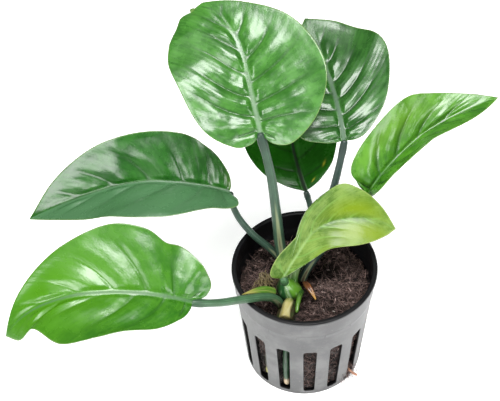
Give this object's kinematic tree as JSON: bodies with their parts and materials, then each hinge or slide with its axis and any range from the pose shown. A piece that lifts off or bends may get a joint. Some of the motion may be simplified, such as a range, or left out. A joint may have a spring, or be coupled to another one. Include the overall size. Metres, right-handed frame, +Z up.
{
  "type": "potted anubias plant",
  "caption": "Small broad-leaved water plant with waxy heart-shaped leaves on stalks, rooted in rock wool inside a slotted plastic net pot that stands on its base.",
  "frame": {"origin": "centre of the pot's underside, on the surface it stands on", "axes": "+Z up along the pot's axis; X along the plant's long side, with the low leaf on -X and the right leaf on +X; -Y is the front"},
  "size_m": [0.1773, 0.1216, 0.1268],
  "materials": {
    "pot_plastic": "satin dark grey moulded plastic, scuffed",
    "rock_wool": "matt fibrous brown wool, damp",
    "leaf_mature": "waxy, quilted between the veins",
    "leaf_dark": "waxy, deep green",
    "leaf_bright": "waxy, bright green",
    "leaf_young": "soft gloss, pale yellow-green",
    "stem_green": "satin, faintly striped along",
    "sheath_green": "satin, papery at the edge",
    "stump_flesh": "matt pale cut flesh",
    "bract_skin": "dry satin scale",
    "shoot_green": "satin",
    "rhizome_bark": "rough, ringed by leaf scars",
    "root_skin": "matt, pale towards the tip"
  },
  "bodies": {
    "root": {"net_pot": "pot_plastic", "growing_medium": "rock_wool", "rhizome": "rhizome_bark", "leaf_upright": "leaf_mature", "leaf_back_right": "leaf_mature", "leaf_middle_left": "leaf_mature", "leaf_back": "leaf_dark", "leaf_right": "leaf_bright", "leaf_low_left": "leaf_bright", "leaf_young": "leaf_young", "stalk_upright": "stem_green", "stalk_back_right": "stem_green", "stalk_back": "stem_green", "stalk_right": "stem_green", "stalk_middle_left": "stem_green", "stalk_low_left": "stem_green", "stalk_young": "stem_green", "sheath_young": "sheath_green", "sheath_low_left": "sheath_green", "cut_stump": "stump_flesh", "bract": "bract_skin", "young_shoot": "shoot_green", "root_front": "root_skin", "root_left": "root_skin", "root_right": "root_skin"}
  },
  "joints": []
}
